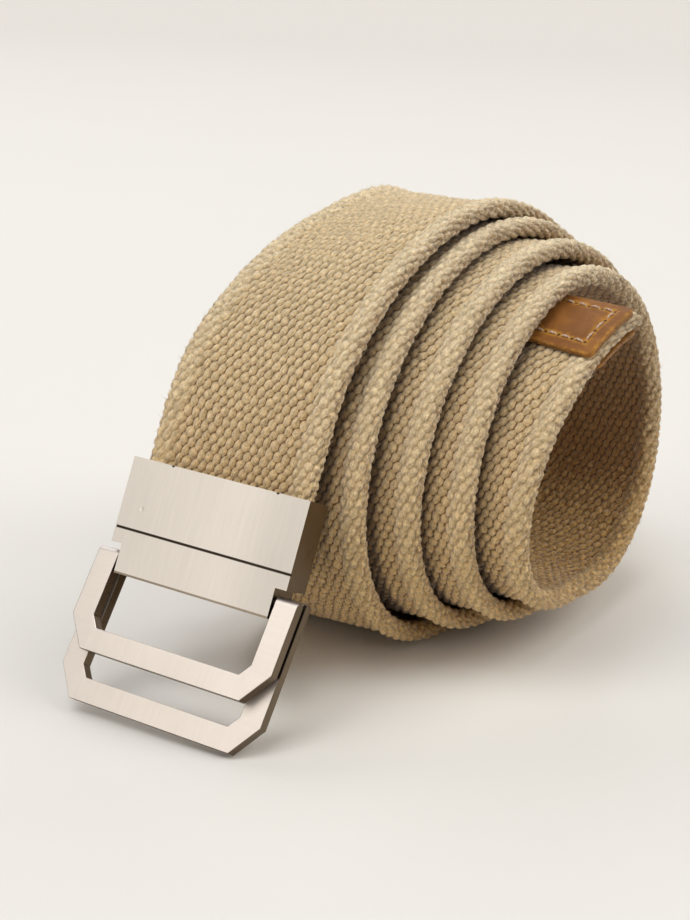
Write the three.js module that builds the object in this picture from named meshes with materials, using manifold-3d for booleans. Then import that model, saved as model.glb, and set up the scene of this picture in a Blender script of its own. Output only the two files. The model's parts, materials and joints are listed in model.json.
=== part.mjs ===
// A woven cotton belt, rolled up and lying on a table, with a flat metal buckle of two hinged
// loops at its outer end and a leather tip on its inner end. Millimetres, +Z up: X runs along
// the roll's axis, -Y is the front, and the roll and the rear loop touch the table at z = 0.
import * as THREE from "three";
import { mergeVertices } from "three/addons/utils/BufferGeometryUtils.js";
import Module from "manifold-3d";

// Strap
const STRAP_WIDTH = 38;
const STRAP_THICK = 3;
const STRAP_STEPS = 236; // sections along the whole strap
const STRAP_IN_BUCKLE = 11.5; // length of strap held inside the buckle

// Roll: the strap goes up at the front, over the top, down the back and under, again and again.
// Each row is a quarter turn further in. radius is from the roll's middle to the strap's
// mid-thickness, shift is how far the strap's middle lies along the axis.
const ROLL_HEIGHT = 36.1; // the roll's middle above the table
const WINDING = [
  { at: "front", radius: 63.4, shift: -0.4 },
  { at: "top", radius: 56.5, shift: 5.5 },
  { at: "back", radius: 54.5, shift: 4 },
  { at: "bottom", radius: 34.9, shift: 3 },
  { at: "front", radius: 53.3, shift: 6.2 },
  { at: "top", radius: 53, shift: 9.4 },
  { at: "back", radius: 50.3, shift: 10.8 },
  { at: "bottom", radius: 31.4, shift: 12.4 },
  { at: "front", radius: 45.7, shift: 14.2 },
  { at: "top", radius: 49.3, shift: 18.2 },
  { at: "back", radius: 45.8, shift: 20.5 },
  { at: "bottom", radius: 27.9, shift: 22 },
  { at: "front", radius: 39.7, shift: 23 },
  { at: "top", radius: 44.6, shift: 25.5 },
  { at: "back", radius: 40.4, shift: 27.5 },
  { at: "bottom", radius: 24.4, shift: 29.2 },
  { at: "front", radius: 33.4, shift: 32.1 },
  { at: "top", radius: 39.6, shift: 40.6 },
];
const LAST_TURN = 4.243; // where the strap ends, in turns
const FREE_TURN = 0.085; // where the strap, coming from the buckle, joins the roll
const YAW_FIRST = 6; // degrees that the strap's width is turned about Z at the buckle
const YAW_PER_TURN = -1;
const TWIST_FIRST = 6; // degrees that the strap's right side is raised at first
const TWIST_TURNS = 0.6; // turns over which that dies away
const LEVEL_BELOW = 1; // the strap is level where its underside is less than this above the table

// Leather tip: one layer on each face of the strap's last stretch
const TIP_WIDTH = 37;
const TIP_THICK = 1.1;
const TIP_GAP = 0.3; // between leather and strap
const TIP_FRONT = { from: 17.5, to: 1.4 }; // distances from the strap's end
const TIP_BACK = { from: 15.8, to: 0.7 };

// Buckle: its front plate leans back against the strap
const MOUTH = new THREE.Vector3(0.2, -62.4, 44.5); // where the strap enters, mid-thickness
const PLATE_LEAN = 65.3; // degrees up from the table
const PLATE_TILT = 2.6; // degrees that its right side is lowered
const PLATE_YAW = 4.9; // degrees about Z
const BOX_WIDTH = 41;
const BOX_HEIGHT = 17.5;
const BOX_DEPTH = 7.8;
const KNUCKLE_WIDTH = 36;
const KNUCKLE_END = 23.5; // from the buckle's top edge to the knuckle's lower edge
const POCKET = { width: 38.6, thick: 3.6, depth: 12 };
const GROOVE = { down: 14.4, width: 0.45, depth: 0.35 };

// Hinges: each loop turns on its own pin across the knuckle
const PIN_DOWN = 20.3; // from the buckle's top edge
const PIN_FRONT_DEPTH = 1.8; // behind the front face
const PIN_REAR_DEPTH = 5.1;
const PIN_RADIUS = 0.6;
const PIN_LENGTH = 43.6;
const BORE_RADIUS = 0.85;
const BORE_LENGTH = 44.2;

// Loops
const LOOP_WIDTH = 46.6;
const LOOP_INNER = 36.8;
const LOOP_THICK = 2.6;
const LOOP_BAR = 4.7; // height of the cross bar
const LOOP_CUT = { along: 6.2, across: 4.6 }; // cut outer corners
const LOOP_INNER_CUT = { along: 2.35, across: 1.75 }; // cut inner corners
const LOOP_LEAN = 12.2; // degrees that both loops hang forward of the plate
const FRONT_REACH = 19.7; // from the pin to the bar's lower edge
const REAR_REACH = 29.9;

const wasm = await Module();
wasm.setup();
const deg = THREE.MathUtils.degToRad;
const BUCKLE_TURN = new THREE.Euler(deg(PLATE_LEAN), deg(PLATE_TILT), deg(PLATE_YAW), "ZYX");

const cotton = new THREE.MeshStandardMaterial({ color: 0xcdb48c, roughness: 0.95 });
const leather = new THREE.MeshStandardMaterial({ color: 0x8c5a23, roughness: 0.6 });
const nickel = new THREE.MeshStandardMaterial({ color: 0xc9c2b8, roughness: 0.35, metalness: 1 });
const steel = new THREE.MeshStandardMaterial({ color: 0x8f8a84, roughness: 0.4, metalness: 1 });

// A closed geometry as a solid, and back.
function solid(geometry) {
  const bare = geometry.clone();
  bare.deleteAttribute("normal");
  bare.deleteAttribute("uv");
  const merged = mergeVertices(bare, 1e-4);
  return new wasm.Manifold(
    new wasm.Mesh({
      numProp: 3,
      vertProperties: new Float32Array(merged.attributes.position.array),
      triVerts: new Uint32Array(merged.index.array),
    }),
  );
}

function geometryOf(body) {
  const mesh = body.getMesh();
  const geometry = new THREE.BufferGeometry();
  geometry.setAttribute("position", new THREE.BufferAttribute(mesh.vertProperties, 3));
  geometry.setIndex(new THREE.BufferAttribute(mesh.triVerts, 1));
  return geometry;
}

// The strap's middle line. Its first stretch is straight inside the buckle, then a short free
// bend carries it to the roll.
class StrapPath extends THREE.Curve {
  constructor() {
    super();
    this.arcLengthDivisions = 4000;
    const rows = WINDING.map((row) => new THREE.Vector3(row.radius, row.shift, 0));
    this.rows = new THREE.CatmullRomCurve3(rows, false, "catmullrom", 0.5);
    this.intoRoll = new THREE.Vector3(0, 1, 0).applyEuler(BUCKLE_TURN);
    const joinAt = this.onRoll(FREE_TURN);
    const joinTo = this.onRoll(FREE_TURN + 1e-4).sub(joinAt).normalize();
    const third = joinAt.distanceTo(MOUTH) / 3;
    this.bend = new THREE.CubicBezierCurve3(
      MOUTH.clone(),
      MOUTH.clone().addScaledVector(this.intoRoll, third),
      joinAt.clone().addScaledVector(joinTo, -third),
      joinAt,
    );
    this.tail = -0.035; // the path's parameter at the strap's hidden end
  }

  onRoll(turn) {
    const row = this.rows.getPoint((turn * 4) / (WINDING.length - 1));
    const angle = 2 * Math.PI * turn;
    const height = ROLL_HEIGHT + row.x * Math.sin(angle);
    return new THREE.Vector3(
      row.y,
      -row.x * Math.cos(angle),
      Math.max(height, STRAP_THICK / 2), // flat where it lies on the table
    );
  }

  turnAt(t) {
    return this.tail + t * (LAST_TURN - this.tail);
  }

  at(turn) {
    if (turn < 0)
      return MOUTH.clone().addScaledVector(this.intoRoll, (-turn / this.tail) * STRAP_IN_BUCKLE);
    if (turn < FREE_TURN) return this.bend.getPoint(turn / FREE_TURN);
    return this.onRoll(turn);
  }

  getPoint(t, target = new THREE.Vector3()) {
    return target.copy(this.at(this.turnAt(t)));
  }

  // Along, across and outward at a turn of the strap.
  frameAt(turn) {
    const step = 4e-4;
    const along = this.at(Math.min(turn + step, LAST_TURN)).sub(this.at(turn - step));
    if (this.at(turn).z < STRAP_THICK / 2 + LEVEL_BELOW) along.z = 0;
    along.normalize();
    const free = THREE.MathUtils.clamp(turn / FREE_TURN, 0, 1);
    const yaw = deg(THREE.MathUtils.lerp(PLATE_YAW, YAW_FIRST + YAW_PER_TURN * turn, free));
    const left = THREE.MathUtils.clamp(1 - turn / TWIST_TURNS, 0, 1);
    const twist = deg(THREE.MathUtils.lerp(-PLATE_TILT, TWIST_FIRST * left * left, free));
    const across = new THREE.Vector3(
      Math.cos(yaw) * Math.cos(twist),
      Math.sin(yaw) * Math.cos(twist),
      Math.sin(twist),
    );
    across.addScaledVector(along, -across.dot(along)).normalize();
    const outward = new THREE.Vector3().crossVectors(across, along);
    return { along, across, outward };
  }

  computeFrenetFrames(segments) {
    const frames = { tangents: [], normals: [], binormals: [] };
    for (let i = 0; i <= segments; i++) {
      const { along, across, outward } = this.frameAt(this.turnAt(this.getUtoTmapping(i / segments)));
      frames.tangents.push(along);
      frames.normals.push(outward);
      frames.binormals.push(across);
    }
    return frames;
  }
}

// A line that lies at a fixed height above the strap's middle line.
class LayerPath extends THREE.Curve {
  constructor(strap, height, from, to) {
    super();
    const end = strap.at(LAST_TURN);
    const perTurn = end.distanceTo(strap.at(LAST_TURN - 0.02)) / 0.02;
    this.strap = strap;
    this.height = height;
    this.turnAt = (t) => LAST_TURN - THREE.MathUtils.lerp(from, to, t) / perTurn;
  }

  getPoint(t, target = new THREE.Vector3()) {
    const turn = this.turnAt(t);
    const { outward } = this.strap.frameAt(turn);
    return target.copy(this.strap.at(turn)).addScaledVector(outward, this.height);
  }

  computeFrenetFrames(segments) {
    const frames = { tangents: [], normals: [], binormals: [] };
    for (let i = 0; i <= segments; i++) {
      const { along, across, outward } = this.strap.frameAt(this.turnAt(this.getUtoTmapping(i / segments)));
      frames.tangents.push(along);
      frames.normals.push(outward);
      frames.binormals.push(across);
    }
    return frames;
  }
}

// A band's section: thick along x, wide along y, with rounded edges.
function bandSection(width, thick, round, corners) {
  const shape = new THREE.Shape();
  const points = [];
  for (const side of [1, -1])
    for (const face of [1, -1])
      for (let i = 0; i <= corners; i++) {
        const angle = (Math.PI / 2) * (face > 0 ? i / corners : 1 + i / corners);
        points.push(
          new THREE.Vector2(
            side * (Math.cos(angle) * round + face * (thick / 2 - round)),
            side * (Math.sin(angle) * round + (width / 2 - round)),
          ),
        );
      }
  const apart = points.filter((p, i) => p.distanceTo(points[(i + 1) % points.length]) > 1e-6);
  shape.setFromPoints(apart);
  return shape;
}

function along(path, section, steps) {
  return new THREE.ExtrudeGeometry(section, { extrudePath: path, steps, bevelEnabled: false });
}

function plate(points, thick) {
  const shape = new THREE.Shape(points.map(([x, y]) => new THREE.Vector2(x, y)));
  return new THREE.ExtrudeGeometry(shape, { depth: thick, bevelEnabled: false });
}

function rodAcross(radius, length, x, y, z, sides = 20) {
  const rod = new THREE.CylinderGeometry(radius, radius, length, sides);
  return rod.rotateZ(Math.PI / 2).translate(x, y, z);
}

// The buckle's box with its knuckle. Its front face is z = 0 and its top edge is y = 0.
function buckleBox() {
  const w = BOX_WIDTH / 2;
  const k = KNUCKLE_WIDTH / 2;
  const outline = [
    [-w, 0],
    [-w, -BOX_HEIGHT],
    [-k, -BOX_HEIGHT],
    [-k, -KNUCKLE_END],
    [k, -KNUCKLE_END],
    [k, -BOX_HEIGHT],
    [w, -BOX_HEIGHT],
    [w, 0],
  ];
  const body = solid(plate(outline, BOX_DEPTH).translate(0, 0, -BOX_DEPTH));
  const pocket = new THREE.BoxGeometry(POCKET.width, POCKET.depth + 1, POCKET.thick);
  pocket.translate(0, (1 - POCKET.depth) / 2, -BOX_DEPTH / 2);
  const groove = new THREE.BoxGeometry(BOX_WIDTH + 2, GROOVE.width, 2 * GROOVE.depth);
  groove.translate(0, -GROOVE.down, 0);
  const front = rodAcross(BORE_RADIUS, KNUCKLE_WIDTH + 2, 0, -PIN_DOWN, -PIN_FRONT_DEPTH);
  const rear = rodAcross(BORE_RADIUS, KNUCKLE_WIDTH + 2, 0, -PIN_DOWN, -PIN_REAR_DEPTH);
  return geometryOf(
    body.subtract(solid(pocket)).subtract(solid(groove)).subtract(solid(front)).subtract(solid(rear)),
  );
}

// A loop, hanging from its pin's axis at the origin.
function loop(reach) {
  const o = LOOP_WIDTH / 2;
  const i = LOOP_INNER / 2;
  const bar = reach - LOOP_BAR;
  const outline = [
    [-o, 0],
    [-o, -(reach - LOOP_CUT.along)],
    [-o + LOOP_CUT.across, -reach],
    [o - LOOP_CUT.across, -reach],
    [o, -(reach - LOOP_CUT.along)],
    [o, 0],
    [i, 0],
    [i, -(bar - LOOP_INNER_CUT.along)],
    [i - LOOP_INNER_CUT.across, -bar],
    [-i + LOOP_INNER_CUT.across, -bar],
    [-i, -(bar - LOOP_INNER_CUT.along)],
    [-i, 0],
  ];
  const arm = o - i;
  let body = solid(plate(outline, LOOP_THICK).translate(0, 0, -LOOP_THICK / 2));
  for (const side of [-1, 1])
    body = body.add(solid(rodAcross(LOOP_THICK / 2, arm, side * (i + arm / 2), 0, 0, 24)));
  return geometryOf(body.subtract(solid(rodAcross(BORE_RADIUS, BORE_LENGTH, 0, 0, 0))));
}

function piece(name, geometry, material) {
  const mesh = new THREE.Mesh(geometry, material);
  mesh.name = name;
  return mesh;
}

const strap = new StrapPath();
const roll = new THREE.Group();
roll.add(
  piece("webbing", along(strap, bandSection(STRAP_WIDTH, STRAP_THICK, STRAP_THICK / 2, 2), STRAP_STEPS), cotton),
);
const layer = STRAP_THICK / 2 + TIP_GAP + TIP_THICK / 2;
const tipSection = bandSection(TIP_WIDTH, TIP_THICK, 0.3, 1);
roll.add(
  piece("tip_front", along(new LayerPath(strap, layer, TIP_FRONT.from, TIP_FRONT.to), tipSection, 8), leather),
  piece("tip_back", along(new LayerPath(strap, -layer, TIP_BACK.from, TIP_BACK.to), tipSection, 8), leather),
);

// The buckle hangs from the strap's mouth: x across, y up along the plate, z out of its face.
const buckle = new THREE.Group();
buckle.rotation.copy(BUCKLE_TURN);
buckle.position.copy(MOUTH);
const fromMouth = new THREE.Group();
fromMouth.position.z = BOX_DEPTH / 2;
fromMouth.add(piece("buckle_housing", buckleBox(), nickel));
for (const [name, reach, depth] of [
  ["front", FRONT_REACH, PIN_FRONT_DEPTH],
  ["rear", REAR_REACH, PIN_REAR_DEPTH],
]) {
  const hinge = new THREE.Group();
  hinge.position.set(0, -PIN_DOWN, -depth);
  hinge.rotation.x = -deg(LOOP_LEAN);
  hinge.add(piece("loop_" + name, loop(reach), nickel));
  hinge.add(piece("pin_" + name, rodAcross(PIN_RADIUS, PIN_LENGTH, 0, 0, 0, 16), steel));
  fromMouth.add(hinge);
}
buckle.add(fromMouth);
roll.add(buckle);

// The part's origin is under the middle of its box.
const belt = new THREE.Group();
belt.add(roll);
belt.updateMatrixWorld(true);
const box = new THREE.Box3().setFromObject(belt, true);
roll.position.set(-(box.min.x + box.max.x) / 2, -(box.min.y + box.max.y) / 2, 0);

export default belt;
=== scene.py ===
"""A woven belt, rolled up on a pale table, with a leather tip and a buckle of two hinged loops.

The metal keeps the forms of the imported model, with softened edges. The strap follows the same
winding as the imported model's, with its weave, its thick selvedges and its loose fibres.
Sizes are in millimetres until a mesh is written, and a turn is one turn of the roll.
"""

import json
import math

import bmesh
import bpy
import numpy as np
from mathutils import Euler, Matrix, Vector


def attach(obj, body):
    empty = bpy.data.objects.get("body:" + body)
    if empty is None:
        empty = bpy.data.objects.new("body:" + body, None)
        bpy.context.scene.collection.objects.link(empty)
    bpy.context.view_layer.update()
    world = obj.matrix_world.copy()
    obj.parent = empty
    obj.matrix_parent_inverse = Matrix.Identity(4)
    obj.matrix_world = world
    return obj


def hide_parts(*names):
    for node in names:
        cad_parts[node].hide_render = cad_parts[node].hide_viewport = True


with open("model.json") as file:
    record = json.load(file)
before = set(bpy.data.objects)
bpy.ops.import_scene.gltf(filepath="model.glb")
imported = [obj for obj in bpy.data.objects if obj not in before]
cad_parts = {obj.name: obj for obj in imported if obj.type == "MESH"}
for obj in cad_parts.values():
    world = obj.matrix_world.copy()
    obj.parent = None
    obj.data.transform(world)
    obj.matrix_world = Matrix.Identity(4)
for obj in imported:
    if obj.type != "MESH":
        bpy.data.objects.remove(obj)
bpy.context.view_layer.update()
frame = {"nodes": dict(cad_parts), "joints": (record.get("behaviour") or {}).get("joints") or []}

MM = 0.001
RANDOM_SEED = 7
TABLE_CLEARANCE = 0.02

# The strap's way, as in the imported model
STRAP_HALF = 19.0  # half its width
STRAP_THICK = 3.0
STRAP_IN_BUCKLE = 11.5
ROLL_HEIGHT = 36.1
WINDING = [  # at, radius of the strap's middle, shift along the roll's axis
    ("front", 63.4, -0.4),
    ("top", 56.5, 5.5),
    ("back", 54.5, 4.0),
    ("bottom", 34.9, 3.0),
    ("front", 53.3, 6.2),
    ("top", 53.0, 9.4),
    ("back", 50.3, 10.8),
    ("bottom", 31.4, 12.4),
    ("front", 45.7, 14.2),
    ("top", 49.3, 18.2),
    ("back", 45.8, 20.5),
    ("bottom", 27.9, 22.0),
    ("front", 39.7, 23.0),
    ("top", 44.6, 25.5),
    ("back", 40.4, 27.5),
    ("bottom", 24.4, 29.2),
    ("front", 33.4, 32.1),
    ("top", 39.6, 40.6),
]
PATH_STEPS = 8000  # for measuring the strap's length
TAIL_TURN = -0.035  # where the strap ends inside the buckle
FREE_TURN = 0.085  # where its first bend joins the roll
LAST_TURN = 4.243
YAW_FIRST = 6.0  # degrees
YAW_PER_TURN = -1.0
TWIST_FIRST = 6.0
TWIST_TURNS = 0.6

# The buckle's place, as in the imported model
MOUTH = np.array([0.2, -62.4, 44.5])  # where the strap goes in, at its middle
PLATE_LEAN = math.radians(65.3)
PLATE_TILT = math.radians(2.6)
PLATE_YAW = math.radians(4.9)
BOX_DEPTH = 7.8
GROOVE_DOWN = 14.4  # from the buckle's top edge, like the next two
PIN_DOWN = 20.3
KNUCKLE_END = 23.5
PIN_FRONT_DEPTH = 1.8  # behind the front face
PIN_REAR_DEPTH = 5.1
LOOP_LEAN = math.radians(12.2)
LOOP_HALF = 23.3  # half its width
LOOP_HALF_THICK = 1.3
LOOP_INNER = 36.8
LOOP_BAR = 4.7
FRONT_REACH = 19.7  # from the pin to the bar's lower edge
REAR_REACH = 29.9
LOOP_STRAIGHT = 13.5  # from the pin down to the front loop's cut corner

# The buckle's edges and marks
SHARP = math.radians(32)  # an edge that bends more than this is softened
BOX_EASE = 0.25
LOOP_EASE = 0.38
GROOVE_KEPT = 0.6  # edges this near the groove stay sharp
NICKS = [  # small dark marks at the buckle's top edge: x, y, radius
    (-11.0, 0.0, 0.4),
    (13.3, 0.0, 0.4),
]
DIMPLE = (-15.5, -9.9, 0.45)  # a tiny dent in the box's face: x, y, radius

# The strap's section
COLUMNS = 84  # of floats round the strap, over both faces and both selvedges
SELVEDGE_WIDE = 2.65  # half width of a selvedge's oval section
SELVEDGE_HALF = 1.95  # and half its thickness
SELVEDGE_FLAT = 16.3  # from the strap's middle to the selvedge's middle
BODY_HALF = 1.15  # half thickness between the selvedges, at mid relief
BODY_BLEND = 6  # the higher, the sharper the body meets the selvedge
VALLEY = (13.3, 0.8, 0.18)  # beside the selvedge: where, half width, depth
SWELL_FROM = 13.4  # where the body swells into the selvedge
SWELL_TO = 14.9
ROUND = math.pi * math.hypot(SELVEDGE_WIDE, SELVEDGE_HALF) / math.sqrt(2)  # over a selvedge
GIRTH = 4 * SELVEDGE_FLAT + 2 * ROUND
OUTER = SELVEDGE_FLAT + ROUND  # where the outer face and the selvedges end

# The weave
COLUMN = GIRTH / COLUMNS
ROW = 3.74  # along the strap, from one float to the next in its column
FLOAT_HEIGHT = 0.58
FLOAT_FOOT = 1.05  # where its side ends, just past its rim, which is at one
FLOAT_LEAST = 0.88  # share of its height that every float has
FLOAT_UNEVEN = 0.24  # and how much more the highest has
FLOAT_SUNK = 0.6  # share of the height that lies below the mid relief
FLOAT_SLANT = 0.16  # across, for each millimetre along the strap
FLOAT_WIDE = 0.80  # half widths of a float
FLOAT_LONG = 1.08
EDGE_MORE = 0.15  # how much higher the floats are on the selvedges
WANDER = [  # waves round the strap, turn for each millimetre of length, start, across, along
    (1, 0.31, 0.0, 0.16, 0.05),
    (2, 0.83, 1.3, 0.08, 0.06),
    (4, -0.11, 2.1, 0.04, 0.14),
    (11, 0.37, 0.4, 0.06, 0.08),
    (17, -0.92, 4.0, 0.05, 0.05),
    (23, 1.34, 5.2, 0.03, 0.05),
    (29, -0.58, 3.1, 0.04, 0.04),
]
WANDER_LAG = 1.7  # of each wave along the strap behind the one across

# Where the strap leaves its winding, and where something lies on it
SAG = [  # turn, how far the strap's left and right edges stand out from its winding
    (0.09, 0.0, 0.0),
    (0.12, -1.3, 0.0),
    (0.15, -2.0, 0.0),
    (0.18, -2.4, 0.0),
    (0.21, -2.2, 0.0),
    (0.235, -1.1, 0.0),
    (0.255, 0.2, -0.2),
    (0.275, 1.3, -0.6),
    (0.30, 1.4, -1.1),
    (0.33, 0.8, -1.3),
    (0.37, 0.0, -0.8),
    (0.42, 0.0, 0.0),
    (3.50, 0.0, 0.0),
    (3.60, 0.4, 1.2),
    (3.66, 0.4, 1.2),
    (3.75, 0.0, 0.0),
]
SAG_FROM = 6  # how far past the middle each edge's sag begins
COVER_EDGE = (-0.2, -1.8)  # the shade under a lap, from that lap's edge inward
COVER_TURNS = (0.94, 1.03)  # and where the first lap begins to cover the second
GRIP_TURN = 0.004  # half the way over which the buckle flattens the weave
GRIP_DEPTH = 0.1
PRESSED = 17.0  # length of the strap that the leather presses flat
PRESSED_THIN = 0.35  # share of the selvedges' thickness that goes
PRESSED_RELIEF = 0.45  # share of the weave's relief that goes

# The laps
COARSE, EVEN, FINE = 1.4, COLUMN / 2, COLUMN / 2.9
FIRST_LAP = [  # up to where round the strap, spacing of the mesh
    (-OUTER, COARSE),
    (OUTER, FINE),
    (GIRTH / 2, COARSE),
]
MIDDLE_LAPS = [
    (-OUTER - 3, COARSE),
    (-14, EVEN),
    (5, COARSE),
    (OUTER + 3, EVEN),
    (GIRTH / 2, COARSE),
]
LAST_LAP = [
    (-OUTER, COLUMN / 1.7),
    (-14, EVEN),
    (5, COARSE),
    (OUTER, EVEN),
    (GIRTH / 2, COLUMN / 1.7),
]
LAPS = [  # piece, from turn, to turn, spacings round the strap, mesh rows for each float
    ("webbing_lap_1", TAIL_TURN, 0.46, FIRST_LAP, 10),
    ("webbing_lap_2", 0.46, 1.30, MIDDLE_LAPS, 8),
    ("webbing_lap_3", 1.30, 2.30, MIDDLE_LAPS, 8),
    ("webbing_lap_4", 2.30, 3.25, MIDDLE_LAPS, 8),
    ("webbing_lap_5", 3.25, LAST_TURN, LAST_LAP, 8),
]

# The loose fibres
FUZZ = [  # from turn, to turn, from and to round the strap, fibres, length, curl
    (0.0, 0.45, -20.0, 20.0, 3000, 0.8, 0.7),
    (0.0, 0.45, -24.0, -17.0, 1500, 1.1, 0.8),
    (0.0, LAST_TURN, 12.5, 20.0, 2700, 1.0, 0.8),
    (0.0, LAST_TURN, 17.5, 26.0, 3600, 1.3, 1.1),
    (3.25, LAST_TURN, 24.0, 56.0, 1200, 0.8, 0.7),
]
FIBRE_RADIUS = 0.032
FIBRE_TAPER = (1.0, 0.9, 0.7)  # width of a fibre's rings, before its pointed end
FIBRE_ROOTED = 0.05  # how deep its root is in the weave
FIBRE_LENGTHS = (0.4, 1.5)  # shortest and longest, for a length of one
FIBRE_RISE = (0.1, 0.75)
LONG_SHARE = 0.06  # how many fibres are longer still
LONG_TIMES = 1.8

# The leather tip: one layer on each face of the strap's end
TIP_THICK = 1.1
TIP_HEIGHT = 1.75  # of a layer's underside above the strap's middle
TIP_HALF = 18.5
TIP_FRONT = (1.4, 17.2)  # from the strap's end
TIP_BACK = (0.7, 15.8)
TIP_SKEW = 0.026  # along the strap, for each millimetre across
TIP_SKEW_RUN = 6  # from the strap's end to where the whole skew is reached
TIP_CORNER = 1.8
TIP_EASE = 0.4
TIP_STEP = 0.4  # spacing of its mesh
TIP_RIM_STOPS = np.array([0, 0.07, 0.18, 0.34, 0.6])  # closer together at its rim
TIP_UNEVEN = 0.05
SEAM_HALF = 15.3
SEAM_SPAN = (4.1, 14.4)  # from the strap's end
SEAM_SUNK = [  # the seam's furrow: depth, half width
    (0.16, 0.55),
    (0.10, 1.6),
]
SEAM_ACROSS = 10  # stitches across the strap
SEAM_DOWN = 3  # stitches along it
STITCH_SHARE = 0.64  # how much of its step a stitch covers
STITCH_RADIUS = 0.22
STITCH_THINNEST = 0.55  # share of the radius at its ends
STITCH_SUNK = 0.42  # how deep its ends lie
STITCH_BOW = 0.45
STITCH_LEAN = 0.16  # aside, for each millimetre along it
LEAN_ONE_WAY = 0.35  # so that more of them lean one way
STITCH_SHIFT = 0.05
STITCH_RINGS = 9
STITCH_SIDES = 8

# Colours
COTTON = (0.74, 0.555, 0.31, 1)
COTTON_CREST = (0.88, 0.73, 0.49, 1)
COTTON_SEAM = (0.20, 0.115, 0.042, 1)  # between the floats
# painted shade on the selvedges' outer sides and inside the roll
COTTON_SHADE = (0.42, 0.31, 0.2, 1)
# painted shade on a lap where the lap outside covers it
COTTON_COVER_SHADE = (0.22, 0.17, 0.12, 1)
COTTON_SHADE_BY_HEIGHT = [  # painted shade, darker and warmer toward the table: decimetres above the table, tint
    (0.0, (0.84, 0.64, 0.31)),
    (0.25, (0.85, 0.72, 0.50)),
    (0.5, (0.88, 0.81, 0.71)),
    (0.85, (1, 1, 1)),
]
FIBRE_DARK, FIBRE_PALE = (0.58, 0.44, 0.28, 1), (0.80, 0.68, 0.50, 1)
LEATHER_DARK, LEATHER_BROWN = (0.225, 0.085, 0.017, 1), (0.315, 0.125, 0.024, 1)
LEATHER_GOLD = (0.50, 0.238, 0.034, 1)
LEATHER_CUT, LEATHER_CUT_PALE = (0.10, 0.036, 0.01, 1), (0.40, 0.19, 0.045, 1)
LEATHER_HOLE = (0.03, 0.012, 0.004, 1)
THREAD_PALE, THREAD_DARK = (0.60, 0.44, 0.34, 1), (0.22, 0.11, 0.06, 1)
BOX_SHINE, LOOP_SHINE = (0.70, 0.65, 0.60, 1), (0.645, 0.59, 0.55, 1)
# painted shade and dark reflection on the metal's sides and undersides
METAL_SIDE_SHADE = (0.169, 0.122, 0.075, 1)
METAL_MARK = (0.045, 0.033, 0.024, 1)
# painted shade in the crack between the two loops
METAL_CRACK_SHADE = (0.02, 0.014, 0.009, 1)
BLACK = (0, 0, 0, 1)
STEEL_DARK, STEEL_PALE = (0.26, 0.24, 0.22, 1), (0.40, 0.38, 0.35, 1)
PAPER_DARK, PAPER_PALE = (0.785, 0.772, 0.745, 1), (0.805, 0.792, 0.765, 1)
# painted shade far off
PAPER_FAR_SHADE = (0.705, 0.68, 0.65, 1)

# The table, the camera and the lights
FLOOR_HALF = 9.0  # metres, like the next two
FLOOR_FLAT = 5.0  # past this the floor rises a little, like a backdrop
FLOOR_RISE = 0.7
FLOOR_PARTS = 24
CAMERA_AZIMUTH = math.radians(33.92)
CAMERA_ELEVATION = math.radians(17.86)
CAMERA_ROLL = math.radians(1.18)
CAMERA_DISTANCE = 359.3
CAMERA_TARGET = np.array([-14.6, 0, 29.9])
FOCAL_PIXELS = 1515
PHOTO_HEIGHT = 920  # pixels
SENSOR = 36.0
WARM, COOL = (1.0, 0.965, 0.895), (1.0, 0.994, 0.992)
LIGHT_SPREAD = math.radians(33)  # how wide each light looks from the table
LIGHT_AWAY = 1.5  # metres
STUDIO_LIGHTS = [  # name, degrees round from the front to the right, degrees up, strength, colour
    ("overhead", 0, 73, 1.03, COOL),
    ("front_left", -30, 50, 0.56, WARM),
    ("front_low", -15, 22, 0.48, WARM),
    ("front_right", 40, 45, 0.35, WARM),
    ("right", 105, 50, 0.70, WARM),
    ("back_right", 120, 22, 0.66, COOL),
    ("back", 165, 22, 0.70, COOL),
    ("back_left", -150, 22, 0.42, COOL),
    ("left", -120, 50, 0.58, COOL),
]
SKY_COLOUR = (1.0, 0.985, 0.96, 1)
SKY_STRENGTH = 0.03


# Paths and shares


def turned(matrix, points):
    return points @ np.array(matrix.to_3x3()).T


def smooth(low, high, value):
    t = np.clip((value - low) / (high - low), 0, 1)
    return t * t * (3 - 2 * t)


def hashed(*numbers):
    """A number from 0 to 1 for each set of whole numbers, always the same."""
    mixed = sum(n * k for n, k in zip(numbers, (12.9898, 78.233, 37.719)))
    return np.modf(np.abs(np.sin(mixed) * 43758.5453))[0]


# The buckle's own frame: x across, y up along its front, z out of its face, zero at its top edge
BUCKLE_TURN = Euler((PLATE_LEAN, PLATE_TILT, PLATE_YAW)).to_matrix()
hinge_in_buckle = np.array([0, -PIN_DOWN, BOX_DEPTH / 2 - PIN_FRONT_DEPTH])
hinge_at = next(j for j in frame["joints"] if j["name"] == "front_loop_hinge")["pos_m"]
ROLL_SHIFT = np.array(hinge_at) / MM - (MOUTH + turned(BUCKLE_TURN, hinge_in_buckle))


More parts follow.
